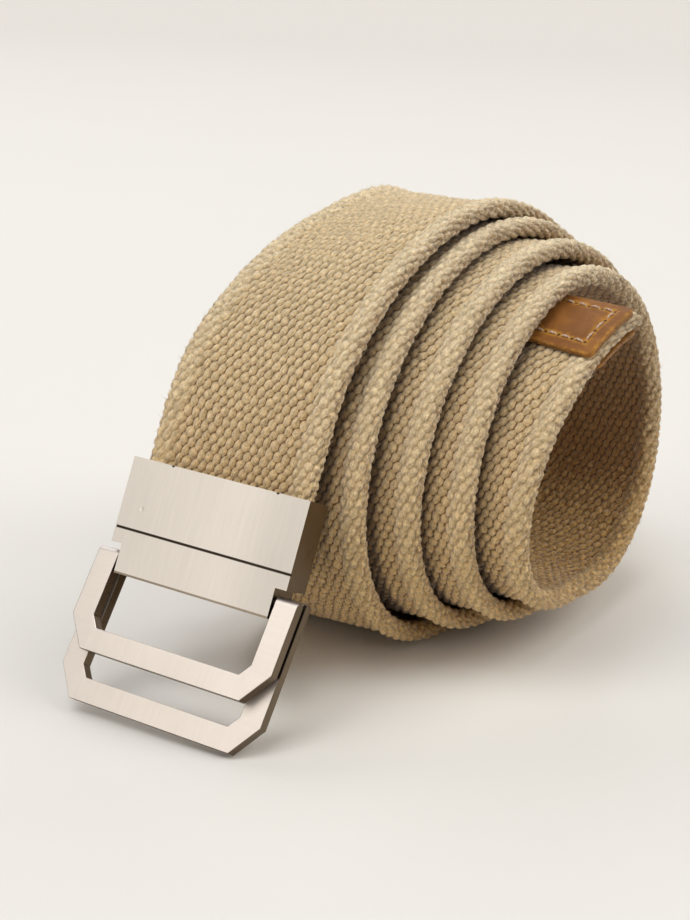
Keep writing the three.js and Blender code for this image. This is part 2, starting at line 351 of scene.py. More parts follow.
class Strap:
    """The strap's middle line and its directions, by turns of the roll or by length."""

    def __init__(self):
        self.into_roll = turned(BUCKLE_TURN, np.array([0.0, 1.0, 0.0]))
        join, past = self.on_roll(np.array([FREE_TURN, FREE_TURN + 1e-4]))
        way = (past - join) / np.linalg.norm(past - join)
        third = np.linalg.norm(join - MOUTH) / 3
        self.bend = [MOUTH, MOUTH + third * self.into_roll, join - third * way, join]
        self.turns = np.linspace(TAIL_TURN, LAST_TURN, PATH_STEPS)
        steps = np.linalg.norm(np.diff(self.at(self.turns), axis=0), axis=1)
        self.lengths = np.concatenate([[0], np.cumsum(steps)])
        self.length = self.lengths[-1]

    def on_roll(self, turn):
        """The middle line on the roll: a curve through the rows of its winding."""
        rows = np.array([row[1:] for row in WINDING])
        rows = np.vstack([2 * rows[0] - rows[1], rows, 2 * rows[-1] - rows[-2]])
        place = np.clip(turn * 4, 0, len(WINDING) - 1)
        left = np.minimum(place.astype(int), len(WINDING) - 2)
        t = (place - left)[:, None]
        a, b, c, d = (rows[left + i] for i in range(4))
        bent = t**2 * (2 * a - 5 * b + 4 * c - d) + t**3 * (3 * b - a - 3 * c + d)
        radius, shift = (b + 0.5 * (t * (c - a) + bent)).T
        angle = 2 * np.pi * turn
        height = np.maximum(ROLL_HEIGHT + radius * np.sin(angle), STRAP_THICK / 2)
        return np.column_stack([shift, -radius * np.cos(angle), height])

    def at(self, turn):
        """The middle line inside the buckle, in the first bend and on the roll."""
        t = np.clip(turn / FREE_TURN, 0, 1)[:, None]
        a, b, c, d = self.bend
        bend = (1 - t) ** 3 * a + 3 * t * (1 - t) ** 2 * b + 3 * t**2 * (1 - t) * c + t**3 * d
        hidden = MOUTH - (turn / TAIL_TURN * STRAP_IN_BUCKLE)[:, None] * self.into_roll
        roll = self.on_roll(np.maximum(turn, FREE_TURN))
        return np.where(turn[:, None] < 0, hidden, np.where(turn[:, None] < FREE_TURN, bend, roll))

    def frame_at(self, turn):
        """Middle, along, across and outward at each turn."""
        step = 4e-4
        along = self.at(np.minimum(turn + step, LAST_TURN)) - self.at(turn - step)
        along /= np.linalg.norm(along, axis=1)[:, None]
        free = np.clip(turn / FREE_TURN, 0, 1)
        roll_yaw = np.radians(YAW_FIRST + YAW_PER_TURN * turn)
        yaw = PLATE_YAW + (roll_yaw - PLATE_YAW) * free
        left = np.clip(1 - turn / TWIST_TURNS, 0, 1)
        twist = np.radians(TWIST_FIRST) * left**2 * free - PLATE_TILT * (1 - free)
        level = np.cos(twist)
        across = np.column_stack([np.cos(yaw) * level, np.sin(yaw) * level, np.sin(twist)])
        across -= along * (along * across).sum(1)[:, None]
        across /= np.linalg.norm(across, axis=1)[:, None]
        return self.at(turn) + ROLL_SHIFT, along, across, np.cross(across, along)

    def turn_at(self, length):
        return np.interp(length, self.lengths, self.turns)

    def length_at(self, turn):
        return float(np.interp(turn, self.turns, self.lengths))


strap = Strap()


# Webbing


def section(around, pressed):
    """Across, outward, and the surface's direction in both, for a place round the strap.

    Zero is the middle of the outer face, and half a girth either way the middle of the inner.
    Where the strap is pressed, its selvedges are thinner."""
    side = np.sign(around)
    reach = np.abs(around)
    angle = np.clip((reach - SELVEDGE_FLAT) / ROUND, 0, 1) * math.pi
    flat = np.where(angle < math.pi, np.minimum(reach, SELVEDGE_FLAT), GIRTH / 2 - reach)
    beside = np.clip((SELVEDGE_FLAT - flat) / SELVEDGE_WIDE, 0, 1)
    oval = SELVEDGE_HALF * np.sqrt(1 - beside**2) * (1 - PRESSED_THIN * pressed)
    half = (BODY_HALF**BODY_BLEND + oval**BODY_BLEND) ** (1 / BODY_BLEND)
    where, wide, deep = VALLEY
    half = half - deep * np.exp(-(((flat - where) / wide) ** 2))
    across = side * (flat + SELVEDGE_WIDE * np.sin(angle))
    return across, half * np.cos(angle), side * np.sin(angle), np.cos(angle)


def wandered(around, length):
    """The threads' own coordinates, which wander a little over the strap."""
    u, v = around, length
    for waves, per_length, start, aside, onward in WANDER:
        angle = waves * 2 * np.pi * around / GIRTH + per_length * length + start
        u = u + aside * np.sin(angle)
        v = v + onward * np.cos(angle + WANDER_LAG)
    return u, v


def whole(number):
    return number.math("FLOOR") if isinstance(number, Wire) else np.floor(number)


def lesser(one, other):
    return one.math("MINIMUM", other) if isinstance(one, Wire) else np.minimum(one, other)


def from_float(u, v):
    """How far the nearest float's middle is, squared, where one is the float's rim.

    The floats stand in a brick pattern and lean to one side. It takes arrays or wires."""
    nearest = None
    for beside in (-1, 0, 1):
        column = whole(u / COLUMN + 0.5) + beside
        odd = column - whole(column * 0.5) * 2
        row = whole(v / ROW - odd * 0.5 + 0.5)
        along = v - (row + odd * 0.5) * ROW
        across = u - column * COLUMN - along * FLOAT_SLANT
        here = across * across / FLOAT_WIDE**2 + along * along / FLOAT_LONG**2
        nearest = here if nearest is None else lesser(nearest, here)
    return nearest


def relief(u, v, edge):
    """The weave's height about its middle, higher at the edge and a little uneven."""
    rise = np.clip(FLOAT_FOOT - from_float(u, v), 0, 1) ** 0.5
    own = hashed(np.floor(u / COLUMN / 2) % (COLUMNS / 2), np.floor(v / ROW * 2))
    own = FLOAT_LEAST + FLOAT_UNEVEN * own
    return FLOAT_HEIGHT * (rise * own - FLOAT_SUNK) * (1 + EDGE_MORE * edge)


def sag(across, turn):
    """How far the strap stands out from its winding where its edges sag or bulge."""
    turns, left, right = np.array(SAG).T
    toward_left = smooth(SAG_FROM, -STRAP_HALF, across)
    toward_right = smooth(-SAG_FROM, STRAP_HALF, across)
    return toward_left * np.interp(turn, turns, left) + toward_right * np.interp(turn, turns, right)


def covered(across, turn):
    """One where the lap outside this one covers the strap, down to zero where it lies open: the mask
    of the painted shade under the laps.
    """
    shift = strap.on_roll(turn)[:, 0] - strap.on_roll(turn - 1)[:, 0]
    past_edge = across - (SELVEDGE_FLAT + SELVEDGE_WIDE - shift)
    return smooth(*COVER_EDGE, past_edge) * smooth(*COVER_TURNS, turn)


def woven_surface(around, length):
    """Places on the weave, the threads' own coordinates there, and how far it is covered, for the
    painted shade under the laps.
    """
    turn = strap.turn_at(length)
    middle, _, across_way, outward = strap.frame_at(turn)
    pressed = smooth(PRESSED + 1, PRESSED - 1, strap.length - length)
    across, out, face_across, face_out = section(around, pressed)
    u, v = wandered(around, length)
    edge = smooth(SWELL_FROM, SWELL_TO, np.abs(across))
    lift = relief(u, v, edge) * (1 - PRESSED_RELIEF * pressed * np.abs(face_out))
    free = smooth(-GRIP_TURN, GRIP_TURN, turn)
    lift = lift * free - GRIP_DEPTH * (1 - free)
    shade = covered(across, turn) * (face_out > 0)
    across = across + face_across * lift
    out = out + face_out * lift + sag(across, turn)
    places = middle + across[:, None] * across_way + out[:, None] * outward
    places[:, 2] = np.maximum(places[:, 2], TABLE_CLEARANCE)
    return places, u, v, shade


def stops_round(spacings):
    """Places round the strap, spaced as asked up to each limit."""
    stops = []
    start = -GIRTH / 2
    for limit, step in spacings:
        count = max(round((limit - start) / step), 1)
        stops.append(np.linspace(start, limit, count, endpoint=False))
        start = limit
    return np.append(np.concatenate(stops), GIRTH / 2)


def woven_piece(name, from_turn, to_turn, spacings, per_float):
    """A closed length of the strap, from one turn to another, with flat cut ends."""
    start = strap.length_at(from_turn)
    end = strap.length_at(to_turn)
    rows = round((end - start) / ROW * per_float)
    stops = stops_round(spacings)
    mesh_maker = bmesh.new()
    bmesh.ops.create_grid(mesh_maker, x_segments=len(stops) - 1, y_segments=rows, size=0.5)
    grid = np.array([vert.co for vert in mesh_maker.verts])
    columns = np.rint((grid[:, 0] + 0.5) * (len(stops) - 1)).astype(int)
    around = stops[columns]
    length = start + (grid[:, 1] + 0.5) * (end - start)
    places, u, v, shade = woven_surface(around, length)
    weave = mesh_maker.loops.layers.uv.new("weave")
    # carries the mask of the painted shade under the laps
    dim = mesh_maker.loops.layers.uv.new("dim")
    mesh_maker.verts.index_update()
    for vert, place in zip(mesh_maker.verts, places * MM):
        vert.co = place
    for face in mesh_maker.faces:
        face.smooth = True
        for corner in face.loops:
            i = corner.vert.index
            corner[weave].uv = (u[i], v[i])
            corner[dim].uv = (shade[i], 0)
    on_cut = dict(zip(mesh_maker.verts, zip(*section(around, 0)[:2])))
    seam = [vert for vert, c in zip(mesh_maker.verts, columns) if c in (0, len(stops) - 1)]
    bmesh.ops.remove_doubles(mesh_maker, verts=seam, dist=1e-7)
    rims = [edge for edge in mesh_maker.edges if edge.is_boundary]
    for cap in bmesh.ops.edgeloop_fill(mesh_maker, edges=rims)["faces"]:
        cap.smooth = False
        for corner in cap.loops:
            corner[weave].uv = on_cut[corner.vert]
            corner[dim].uv = (0, 0)
    for edge in rims:
        edge.smooth = False
    bmesh.ops.recalc_face_normals(mesh_maker, faces=mesh_maker.faces)
    return finished(mesh_maker, name, "belt", cotton, ["webbing"])


def fibre_starts():
    """Each loose fibre's root, first direction, length and curl."""
    rng = np.random.default_rng(RANDOM_SEED)
    roots, ways, lengths, curls = [], [], [], []
    for from_turn, to_turn, from_around, to_around, count, size, curl in FUZZ:
        turn = rng.uniform(from_turn, to_turn, count)
        around = rng.uniform(from_around, to_around, count)
        around = (around + GIRTH / 2) % GIRTH - GIRTH / 2
        root = woven_surface(around, np.interp(turn, strap.turns, strap.lengths))[0]
        _, along, across_way, outward = strap.frame_at(turn)
        _, _, face_across, face_out = section(around, 0)
        normal = face_across[:, None] * across_way + face_out[:, None] * outward
        sideways = np.cross(normal, along)
        angle = rng.uniform(0, 2 * np.pi, count)[:, None]
        flat = np.cos(angle) * along + np.sin(angle) * sideways
        rise = rng.uniform(*FIBRE_RISE, count)[:, None]
        own = rng.uniform(*FIBRE_LENGTHS, count)
        longer = np.where(rng.random(count) < LONG_SHARE, LONG_TIMES, 1)
        spin = rng.normal(size=(count, 3))
        roots.append(root - FIBRE_ROOTED * normal)
        ways.append(flat + rise * normal)
        lengths.append(size * own * longer)
        curls.append(curl * (0.7 * spin - 0.5 * normal))
    return [np.concatenate(each) for each in (roots, ways, lengths, curls)]


def fibre_corners():
    """Each loose fibre's corners: three rings of three, then its pointed end."""
    place, way, length, curl = fibre_starts()
    step = length[:, None] / len(FIBRE_TAPER)
    rings = []
    for width in FIBRE_TAPER:
        way = way / np.linalg.norm(way, axis=1)[:, None]
        aside = np.cross(way, curl)
        aside /= np.linalg.norm(aside, axis=1)[:, None]
        third = np.cross(way, aside)
        for part in range(3):
            turn = part * 2 * np.pi / 3
            off = np.cos(turn) * aside + np.sin(turn) * third
            rings.append(place + FIBRE_RADIUS * width * off)
        place = place + way * step
        place[:, 2] = np.maximum(place[:, 2], TABLE_CLEARANCE + FIBRE_RADIUS)
        way = way + curl
    rings.append(place)
    corners = np.stack(rings, axis=1)
    corners[:, :, 2] = np.maximum(corners[:, :, 2], TABLE_CLEARANCE)
    return corners


def loose_fibres(name):
    """Short curled fibres that stand off the weave, each a tapering three-sided thread."""
    pattern = [(2, 1, 0)]
    for ring in (0, 3):
        for part in range(3):
            after = (part + 1) % 3
            pattern.append((ring + part, ring + after, ring + 3 + after, ring + 3 + part))
    pattern += [(6 + part, 6 + (part + 1) % 3, 9) for part in range(3)]
    mesh_maker = bmesh.new()
    for fibre in fibre_corners() * MM:
        verts = [mesh_maker.verts.new(corner) for corner in fibre]
        for face in pattern:
            mesh_maker.faces.new([verts[i] for i in face]).smooth = True
    bmesh.ops.recalc_face_normals(mesh_maker, faces=mesh_maker.faces)
    return finished(mesh_maker, name, "belt", fibre_cotton)


# Leather tip


def on_tip(across, from_end, height):
    """A place on the strap's last stretch, height above its middle. The tip sits a little askew."""
    from_end = from_end - TIP_SKEW * across * np.clip(from_end / TIP_SKEW_RUN, 0, 1)
    middle, _, across_way, outward = strap.frame_at(strap.turn_at(strap.length - from_end))
    return middle + across[:, None] * across_way + height[:, None] * outward


def eased_stops(low, high):
    """Stops from low to high, closer together near both ends."""
    even = np.linspace(low + 1, high - 1, round((high - low - 2) / TIP_STEP) + 1)
    return np.concatenate([low + TIP_RIM_STOPS, even, high - TIP_RIM_STOPS[::-1]])


def round_corners(a, b, span):
    """A layer's places drawn in at its round corners, and how far each is from the rim."""
    middle, half = sum(span) / 2, (span[1] - span[0]) / 2
    past = np.column_stack([np.abs(a) - TIP_HALF, np.abs(b - middle) - half]) + TIP_CORNER
    in_corner = (past > 0).all(axis=1)
    largest = past.max(axis=1)
    shrink = np.where(in_corner, largest / np.maximum(np.linalg.norm(past, axis=1), 1e-6), 1)
    past *= shrink[:, None]
    a = np.sign(a) * (past[:, 0] + TIP_HALF - TIP_CORNER)
    b = middle + np.sign(b - middle) * (past[:, 1] + half - TIP_CORNER)
    out = np.where(in_corner, np.linalg.norm(past, axis=1), past.max(axis=1))
    return a, b, TIP_CORNER - out


def layer_thickness(a, b, rim):
    """A layer's thickness, eased at its rim, pressed along its seam and a little uneven."""
    short = np.clip(TIP_EASE - rim, 0, TIP_EASE)
    eased = TIP_EASE - np.sqrt(TIP_EASE**2 - short**2)
    middle, half = sum(SEAM_SPAN) / 2, (SEAM_SPAN[1] - SEAM_SPAN[0]) / 2
    seam = np.maximum(np.abs(a) - SEAM_HALF, np.abs(b - middle) - half)
    furrow = sum(deep * np.exp(-((seam / wide) ** 2)) for deep, wide in SEAM_SUNK)
    uneven = TIP_UNEVEN * np.sin(0.9 * a + 0.4 * b) * np.sin(0.7 * b - 0.3 * a + 1)
    return TIP_THICK - eased - furrow + uneven


def leather_layer(name, node, side, span):
    """A layer with round corners and eased edges, pressed down along its seam."""
    across = eased_stops(-TIP_HALF, TIP_HALF)
    down = eased_stops(*span)
    mesh_maker = bmesh.new()
    bmesh.ops.create_grid(
        mesh_maker, x_segments=len(across) - 1, y_segments=len(down) - 1, size=0.5
    )
    grid = np.array([vert.co for vert in mesh_maker.verts])
    a = across[np.rint((grid[:, 0] + 0.5) * (len(across) - 1)).astype(int)]
    b = down[np.rint((grid[:, 1] + 0.5) * (len(down) - 1)).astype(int)]
    a, b, rim = round_corners(a, b, span)
    low = on_tip(a, b, np.full(len(a), side * TIP_HEIGHT)) * MM
    high = on_tip(a, b, side * (TIP_HEIGHT + layer_thickness(a, b, rim))) * MM
    ring = mesh_maker.verts[:]
    made = bmesh.ops.extrude_face_region(mesh_maker, geom=mesh_maker.faces[:])
    lifted = [item for item in made["geom"] if isinstance(item, bmesh.types.BMVert)]
    keys = {tuple(np.round(vert.co, 6)): i for i, vert in enumerate(ring)}
    where = {vert: (low[i], i) for i, vert in enumerate(ring)}
    for vert in lifted:
        i = keys[tuple(np.round(vert.co, 6))]
        where[vert] = (high[i], i)
    layer = mesh_maker.loops.layers.uv.new("tip")
    for face in mesh_maker.faces:
        face.smooth = True
        for corner in face.loops:
            i = where[corner.vert][1]
            corner[layer].uv = (a[i], b[i])
    for vert, (place, _) in where.items():
        vert.co = place
    bmesh.ops.recalc_face_normals(mesh_maker, faces=mesh_maker.faces)
    return finished(mesh_maker, name, "belt", leather, [node])


def tube_faces():
    """A stitch's faces, by the numbers of its corners, ring after ring."""
    faces = []
    for ring in range(STITCH_RINGS - 1):
        here, there = ring * STITCH_SIDES, (ring + 1) * STITCH_SIDES
        for c in range(STITCH_SIDES):
            d = (c + 1) % STITCH_SIDES
            faces.append([here + c, here + d, there + d, there + c])
    faces.append(list(range(STITCH_SIDES)))
    faces.append(list(range((STITCH_RINGS - 1) * STITCH_SIDES, STITCH_RINGS * STITCH_SIDES)))
    return faces


def seam_stitches(name, side):
    """The thread round both seams, each stitch a short bent tube that dives into its holes."""
    near, far = SEAM_SPAN
    corners = [(SEAM_HALF, near), (SEAM_HALF, far), (-SEAM_HALF, far), (-SEAM_HALF, near)]
    counts = [SEAM_DOWN, SEAM_ACROSS, SEAM_DOWN, SEAM_ACROSS]
    along = np.linspace(0, 1, STITCH_RINGS)
    turn = np.linspace(0, 2 * np.pi, STITCH_SIDES, endpoint=False)
    bow = 1 - (2 * along - 1) ** 6
    height = TIP_HEIGHT + TIP_THICK - STITCH_SUNK + STITCH_BOW * bow
    fat = STITCH_RADIUS * (STITCH_THINNEST + (1 - STITCH_THINNEST) * bow)
    ring_across = np.cos(turn)[None, :] * fat[:, None]
    up = height[:, None] + np.sin(turn)[None, :] * fat[:, None]
    places, threads = [], []
    for k, count in enumerate(counts):
        start, end = np.array(corners[k]), np.array(corners[(k + 1) % 4])
        step = (end - start) / count
        way = step / np.linalg.norm(step)
        aside = np.array([-way[1], way[0]])
        run = (along - 0.5) * np.linalg.norm(step) * STITCH_SHARE
        for i in range(count):
            number = len(places) + 1
            lean, shift = hashed(np.array([number, number + 57.0]), np.array([side, 3.0])) - 0.5
            centre = start + (i + 0.5 + STITCH_SHIFT * shift) * step
            off = run * STITCH_LEAN * (lean + LEAN_ONE_WAY)
            line = centre + run[:, None] * way + off[:, None] * aside
            flat = line[:, None, :] + ring_across[..., None] * aside
            places.append(on_tip(flat[..., 0].ravel(), flat[..., 1].ravel(), side * up.ravel()))
            threads.append(np.column_stack([np.repeat(run, len(turn)), np.tile(turn, len(along))]))
    mesh_maker = bmesh.new()
    layer = mesh_maker.loops.layers.uv.new("thread")
    for stitch, thread_at in zip(places, threads):
        verts = [mesh_maker.verts.new(place) for place in stitch * MM]
        for face in tube_faces():
            made = mesh_maker.faces.new([verts[i] for i in face])
            made.smooth = True
            for corner, i in zip(made.loops, face):
                corner[layer].uv = thread_at[i]
    bmesh.ops.recalc_face_normals(mesh_maker, faces=mesh_maker.faces)
    return finished(mesh_maker, name, "belt", thread)


# Pieces in the scene


def in_scene(name, data):
    """A new object of the scene."""
    made = bpy.data.objects.new(name, data)
    bpy.context.scene.collection.objects.link(made)
    return made


def meshed(mesh_maker, name, material):
    """Writes the mesh as an object with its finish."""
    mesh = bpy.data.meshes.new(name)
    mesh_maker.to_mesh(mesh)
    mesh_maker.free()
    mesh.materials.append(material)
    return in_scene(name, mesh)


def finished(mesh_maker, name, body, material, nodes=()):
    """Writes the mesh as a piece that rides on a body, with its finish."""
    piece = meshed(mesh_maker, name, material)
    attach(piece, body)
    if nodes:
        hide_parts(*nodes)
    return piece


# Materials


class Wire:
    """A socket that adds Math nodes when it is used in an expression."""

    def __init__(self, paint, socket):
        self.paint = paint
        self.socket = socket

    def math(self, operation, *values):
        sockets = dict(enumerate((self, *values)))
        return self.paint.node("ShaderNodeMath", {"operation": operation}, sockets)

    def __add__(self, other):
        return self.math("ADD", other)

    def __sub__(self, other):
        return self.math("SUBTRACT", other)

    def __mul__(self, other):
        return self.math("MULTIPLY", other)

    def __truediv__(self, other):
        return self.math("DIVIDE", other)

    def __rsub__(self, other):
        return self * -1 + other

    __radd__ = __add__
    __rmul__ = __mul__

    def between(self, low, high):
        """A smooth step from zero at low to one at high."""
        sockets = {"Value": self, 1: low, 2: high, 3: 0, 4: 1}
        return self.paint.node("ShaderNodeMapRange", {"interpolation_type": "SMOOTHSTEP"}, sockets)

    def ramp(self, *stops):
        return self.paint.node("ShaderNodeValToRGB", {"stops": stops}, {0: self})


class Paint:
    """A material in the making."""

    def __init__(self, name, **finish):
        self.material = bpy.data.materials.new(name)
        self.material.use_nodes = True
        self.nodes = self.material.node_tree.nodes
        self.shader = self.nodes["Principled BSDF"]
        self.into(**finish)

    def into(self, **sockets):
        for name, value in sockets.items():
            self.feed(self.shader.inputs[name.replace("_", " ")], value)

    def feed(self, socket, value):
        if isinstance(value, Wire):
            self.material.node_tree.links.new(value.socket, socket)
        else:
            socket.default_value = value

    def node(self, kind, settings=None, sockets=None, out=0):
        made = self.nodes.new(kind)
        for name, value in (settings or {}).items():
            if name == "stops":
                self.set_stops(made.color_ramp, value)
            else:
                setattr(made, name, value)
        for key, value in (sockets or {}).items():
            self.feed(made.inputs[key], value)
        return Wire(self, made.outputs[out])

    def set_stops(self, ramp, stops):
        while len(ramp.elements) < len(stops):
            ramp.elements.new(1.0)
        for element, (place, colour) in zip(ramp.elements, stops):
            element.position = place
            element.color = (*colour, 1)

    def place(self):
        """The place in the scene, in metres."""
        return self.node("ShaderNodeTexCoord", out="Object")

    def uv(self, layer):
        return self.node("ShaderNodeUVMap", {"uv_map": layer})

    def vector(self, *numbers):
        return self.node("ShaderNodeCombineXYZ", {}, dict(enumerate(numbers)))

    def parts(self, vector):
        """A vector's three numbers."""
        apart = self.node("ShaderNodeSeparateXYZ", {}, {0: vector})
        return [Wire(self, socket) for socket in apart.socket.node.outputs]

    def mixed(self, share, first, second, how="MIX"):
        sockets = {0: share, 6: first, 7: second}
        return self.node("ShaderNodeMix", {"data_type": "RGBA", "blend_type": how}, sockets, out=2)

    def tinted(self, colour, tint):
        """A colour that is made darker or lighter, where a tint of one leaves it."""
        return self.mixed(1.0, colour, self.vector(tint, tint, tint), "MULTIPLY")

    def noise(self, place, scale, detail, roughness=0.5):
        sockets = {"Vector": place, "Scale": scale, "Detail": detail, "Roughness": roughness}
        return self.node("ShaderNodeTexNoise", {}, sockets)

    def bump(self, height, strength=1.0, distance=MM):
        sockets = {"Height": height, "Strength": strength, "Distance": distance}
        return self.node("ShaderNodeBump", {}, sockets)


def cotton_paint():
    """Plump floats in a brick pattern with brown seams between them, fine fibre over all, and painted
    shade.
    """
    paint = Paint(
        "cotton_webbing",
        Roughness=0.95, Specular_IOR_Level=0.1, Sheen_Weight=0.45, Sheen_Roughness=0.5,
    )
    space = paint.place()
    decimetres_up = paint.parts(space)[2] * 10
    uv = paint.uv("weave")
    u, v, _ = paint.parts(uv)
    dim = paint.parts(paint.uv("dim"))[0]
    coarse = paint.noise(space, 700, detail=2)
    knots = paint.noise(space, 1100, detail=2)
    fluff = paint.noise(space, 1900, detail=4, roughness=0.7)
    uneven = paint.noise(space, 60, detail=2)
    own = paint.noise(uv, 0.55, detail=1)
    fibre = paint.noise(paint.vector((u - v * 0.25) * 2.3, v * 0.6), 1.0, detail=4, roughness=0.75)

    reach = u.math("ABSOLUTE")
    edge = reach.math("MINIMUM", GIRTH / 2 - reach).between(SWELL_FROM, SWELL_TO)
    side = reach.between(SELVEDGE_FLAT + 0.8, SELVEDGE_FLAT + 3.2)
    inner_face = reach.between(OUTER - 1, OUTER + 1)
    ragged = from_float(u + (coarse - 0.5) * 0.5, v) + (fluff - 0.5) * 0.5
    ragged = ragged + edge * (knots - 0.5) * 1.1
    gap = ragged.between(0.95, 1.4)
    crest = ragged.between(0.9, 0.1)

    colour = paint.mixed(gap * (1 - edge * 0.25), COTTON, COTTON_SEAM)
    colour = paint.mixed(crest * 0.6 + edge * 0.55, colour, COTTON_CREST)
    # painted shade: darker and warmer toward the table
    colour = paint.mixed(1.0, colour, decimetres_up.ramp(*COTTON_SHADE_BY_HEIGHT), "MULTIPLY")
    # painted shade: on the selvedges' outer sides, in specks and stronger higher up, and on the inner
    # face above the roll's bottom
    patchy = side * ((knots - 0.5) * 2.2 + 0.35 + decimetres_up.between(0.5, 0.85) * 0.3)
    brown = patchy.math("MAXIMUM", 0) + inner_face * decimetres_up.between(0.14, 0.34) * 0.8
    colour = paint.mixed(brown, colour, COTTON_SHADE, "MULTIPLY")
    # painted shade where the lap outside covers this one
    colour = paint.mixed(dim * 0.9, colour, COTTON_COVER_SHADE, "MULTIPLY")
    tint = 1 + (own - 0.5) * 0.3 + (fibre - 0.5) * 1.9 + (fluff - 0.5) * 1.4 + (uneven - 0.5) * 0.15
    pillow = (1.1 - ragged).math("MAXIMUM", 0).math("SQRT")
    height = pillow * 0.16 + fibre * 0.55 + fluff * 0.18
    paint.into(Base_Color=paint.tinted(colour, tint), Normal=paint.bump(height))
    return paint.material


def fibre_paint():
    paint = Paint(
        "loose_cotton",
        Roughness=0.9, Specular_IOR_Level=0.1, Sheen_Weight=0.3, Sheen_Roughness=0.5,
    )
    patch = paint.noise(paint.place(), 700, detail=1)
    paint.into(Base_Color=paint.mixed(patch, FIBRE_DARK, FIBRE_PALE))
    return paint.material


def stitch_holes(a, b, beside, beyond):
    """One at the holes of the seam, which lie where its stitches meet, and zero elsewhere."""
    near, far = SEAM_SPAN
    step_a = 2 * SEAM_HALF / SEAM_ACROSS
    step_b = (far - near) / SEAM_DOWN
    along_a = ((a / step_a + 0.5).math("FRACT") - 0.5) * step_a
    along_b = (((b - near) / step_b + 0.5).math("FRACT") - 0.5) * step_b
    hole_a = along_a * along_a + beyond * beyond + beside.between(0.2, 0.4) * 9
    hole_b = along_b * along_b + beside * beside + beyond.between(0.2, 0.4) * 9
    return hole_a.math("MINIMUM", hole_b).between(0.12, 0.02)


def leather_paint():
    """Waxed tan leather, golden where it is bent and rubbed, speckled along its cut edges."""
    paint = Paint("tan_leather", Specular_IOR_Level=0.25)
    space = paint.place()
    a, b, _ = paint.parts(paint.uv("tip"))
    near, far = SEAM_SPAN
    beside = a.math("ABSOLUTE") - SEAM_HALF
    beyond = (b - (near + far) / 2).math("ABSOLUTE") - (far - near) / 2
    seam = beside.math("MAXIMUM", beyond)
    hole = stitch_holes(a, b, beside, beyond)
    cloud = paint.noise(space, 240, detail=4, roughness=0.6)
    mottle = paint.noise(space, 900, detail=3, roughness=0.6)
    grain = paint.noise(space, 3200, detail=3, roughness=0.6)
    pores = paint.node(
        "ShaderNodeTexVoronoi", {"feature": "DISTANCE_TO_EDGE"}, {"Vector": space, "Scale": 2600}
    )
    rubbed = seam.math("ABSOLUTE").between(1.7, 0.1) * 0.75 + seam.between(1.4, 3.0) * 0.55
    gold = (rubbed + (mottle - 0.5) * 1.1 + (cloud - 0.5) * 0.9).between(0.2, 0.95)
    from_side = TIP_HALF - a.math("ABSOLUTE")
    from_near = (b - TIP_FRONT[0]).math("MAXIMUM", 0.25)
    from_far = (TIP_FRONT[1] - b).math("MAXIMUM", 0)
    cut = from_side.math("MINIMUM", from_near).math("MINIMUM", from_far).between(0.12, 0.0)

    colour = paint.mixed(cloud.between(0.35, 0.7), LEATHER_DARK, LEATHER_BROWN)
    colour = paint.mixed(gold, colour, LEATHER_GOLD)
    speckle = paint.mixed(grain.between(0.35, 0.65), LEATHER_CUT, LEATHER_CUT_PALE)
    colour = paint.mixed(cut, colour, speckle)
    colour = paint.mixed(hole, colour, LEATHER_HOLE)
    tint = 1 + (grain - 0.5) * 0.35 + (mottle - 0.5) * 0.3
    rough = 0.52 + (mottle - 0.5) * 0.25
    height = grain * 0.05 + pores.between(0.0, 0.12) * 0.03 + cloud * 0.08 - hole * 0.2
    paint.into(Base_Color=paint.tinted(colour, tint), Roughness=rough, Normal=paint.bump(height))
    return paint.material


def thread_paint():
    """Two plies of thread, darker between them."""
    paint = Paint("pale_thread", Roughness=0.55)
    run, turn, _ = paint.parts(paint.uv("thread"))
    ply = (run * 7 + turn).math("SINE")
    fluff = paint.noise(paint.place(), 3000, detail=3)
    shade = ply.between(0.0, -1.0) * 0.6 + (fluff - 0.5) * 0.3
    colour = paint.mixed(shade.math("MAXIMUM", 0), THREAD_PALE, THREAD_DARK)
    paint.into(Base_Color=colour, Normal=paint.bump(ply * 0.03 + fluff * 0.03))
    return paint.material


def in_buckle_frame(paint):
    """The place in the buckle's own frame, in millimetres."""
    sockets = {
        "Vector": paint.place(),
        "Location": Vector(MOUTH + ROLL_SHIFT) * MM,
        "Rotation": (PLATE_LEAN, PLATE_TILT, PLATE_YAW),
        "Scale": (MM, MM, MM),
    }
    return paint.parts(paint.node("ShaderNodeMapping", {"vector_type": "TEXTURE"}, sockets))


def off_spot(x, y, across, up):
    """How far a place on the box's face is from a spot, squared."""
    return (x - across) * (x - across) + (y - up) * (y - up)


def box_marks(x, y, z):
    """The dark groove and nicks in the box's face, and its dimple."""
    dark = (y + GROOVE_DOWN).math("ABSOLUTE").between(0.34, 0.19)
    for across, up, radius in NICKS:
        nick = off_spot(x, y, across, up).between(radius**2 * 1.3, radius**2 * 0.4)
        dark = dark.math("MAXIMUM", nick)
    across, up, radius = DIMPLE
    dimple = off_spot(x, y, across, up).between(radius**2 * 1.6, 0)
    return dark * z.between(BOX_DEPTH / 2 - 0.6, BOX_DEPTH / 2 - 0.4), dimple


def shade_between_loops(x, y, z, pin_depth, side):
    """The painted shade along a loop's edge where it lies against the other.

    Side is one at the loop's front and minus one at its back."""
    down = (y + PIN_DOWN) * -1
    slanted = down * (-side * math.sin(LOOP_LEAN))
    depth = slanted + (z - BOX_DEPTH / 2 + pin_depth) * (side * math.cos(LOOP_LEAN))
    deep = depth.between(LOOP_HALF_THICK - 0.4, LOOP_HALF_THICK - 0.25)
    out = x.math("ABSOLUTE").between(LOOP_HALF - 0.75, LOOP_HALF - 0.6)
    return deep * out * down.between(LOOP_STRAIGHT + 0.4, LOOP_STRAIGHT - 0.5)


